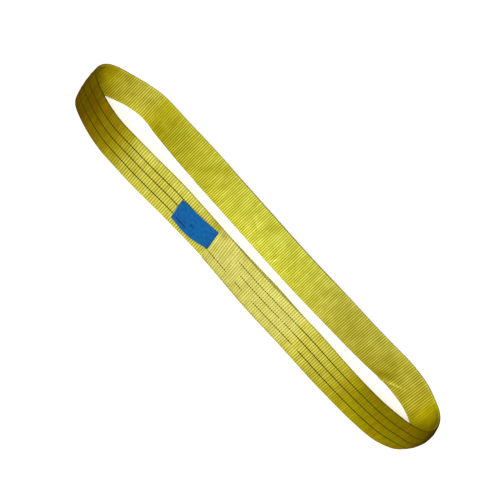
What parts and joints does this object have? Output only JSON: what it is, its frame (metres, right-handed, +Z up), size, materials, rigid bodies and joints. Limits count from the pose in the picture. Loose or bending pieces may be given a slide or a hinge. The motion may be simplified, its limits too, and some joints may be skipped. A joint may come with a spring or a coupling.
{
  "type": "endless flat webbing sling",
  "caption": "Endless flat sling of ribbed woven webbing, standing open on its edge, with load stripes, a long sewn lap splice and a leaf label that lifts.",
  "frame": {"origin": "below the middle of the sling's box, on the plane of the band's lower edge, which it stands on", "axes": "+X along the loop from the bend nearer the label to the other, -Y out of the labelled strand's outer face, +Z up, across the band's width"},
  "size_m": [0.916, 0.1458, 0.09],
  "materials": {
    "yellow_webbing": "coarse transverse ribs, slight sheen",
    "black_stripe_yarn": "warp yarns woven into the outer face",
    "splice_thread": "twisted sewing thread",
    "blue_label": null
  },
  "bodies": {
    "sling": {"webbing_front_left_run": "yellow_webbing", "webbing_front_right_run": "yellow_webbing", "webbing_left_bend": "yellow_webbing", "webbing_right_bend": "yellow_webbing", "stripe_lower": "black_stripe_yarn", "stripe_middle": "black_stripe_yarn", "stripe_upper": "black_stripe_yarn", "stitch_row_01": "splice_thread", "stitch_row_02": "splice_thread", "stitch_row_03": "splice_thread", "stitch_row_04": "splice_thread", "stitch_row_05": "splice_thread", "stitch_row_06": "splice_thread", "stitch_row_07": "splice_thread", "stitch_row_08": "splice_thread", "stitch_row_09": "splice_thread", "stitch_row_10": "splice_thread", "stitch_row_11": "splice_thread", "lap_end_tack": "splice_thread", "under_end_tack": "splice_thread", "label_seam": "splice_thread", "label_tongue": "blue_label"},
    "far_strand": {"webbing_far_strand": "yellow_webbing", "far_stripe_lower": "black_stripe_yarn", "far_stripe_middle": "black_stripe_yarn", "far_stripe_upper": "black_stripe_yarn"},
    "label": {"label_leaf": "blue_label"}
  },
  "joints": [
    {"name": "loop_squeeze", "type": "slide", "parent": "sling", "child": "far_strand", "axis": [0, 1, 0], "range_m": [-0.06, 0.02], "stiffness_N_per_m": 20},
    {"name": "label_lift", "type": "hinge", "parent": "sling", "child": "label", "pos_m": [-0.07689, -0.06815, 0.05289], "axis": [-0.1253, 0, 0.9921], "range_deg": [0, 88]}
  ]
}
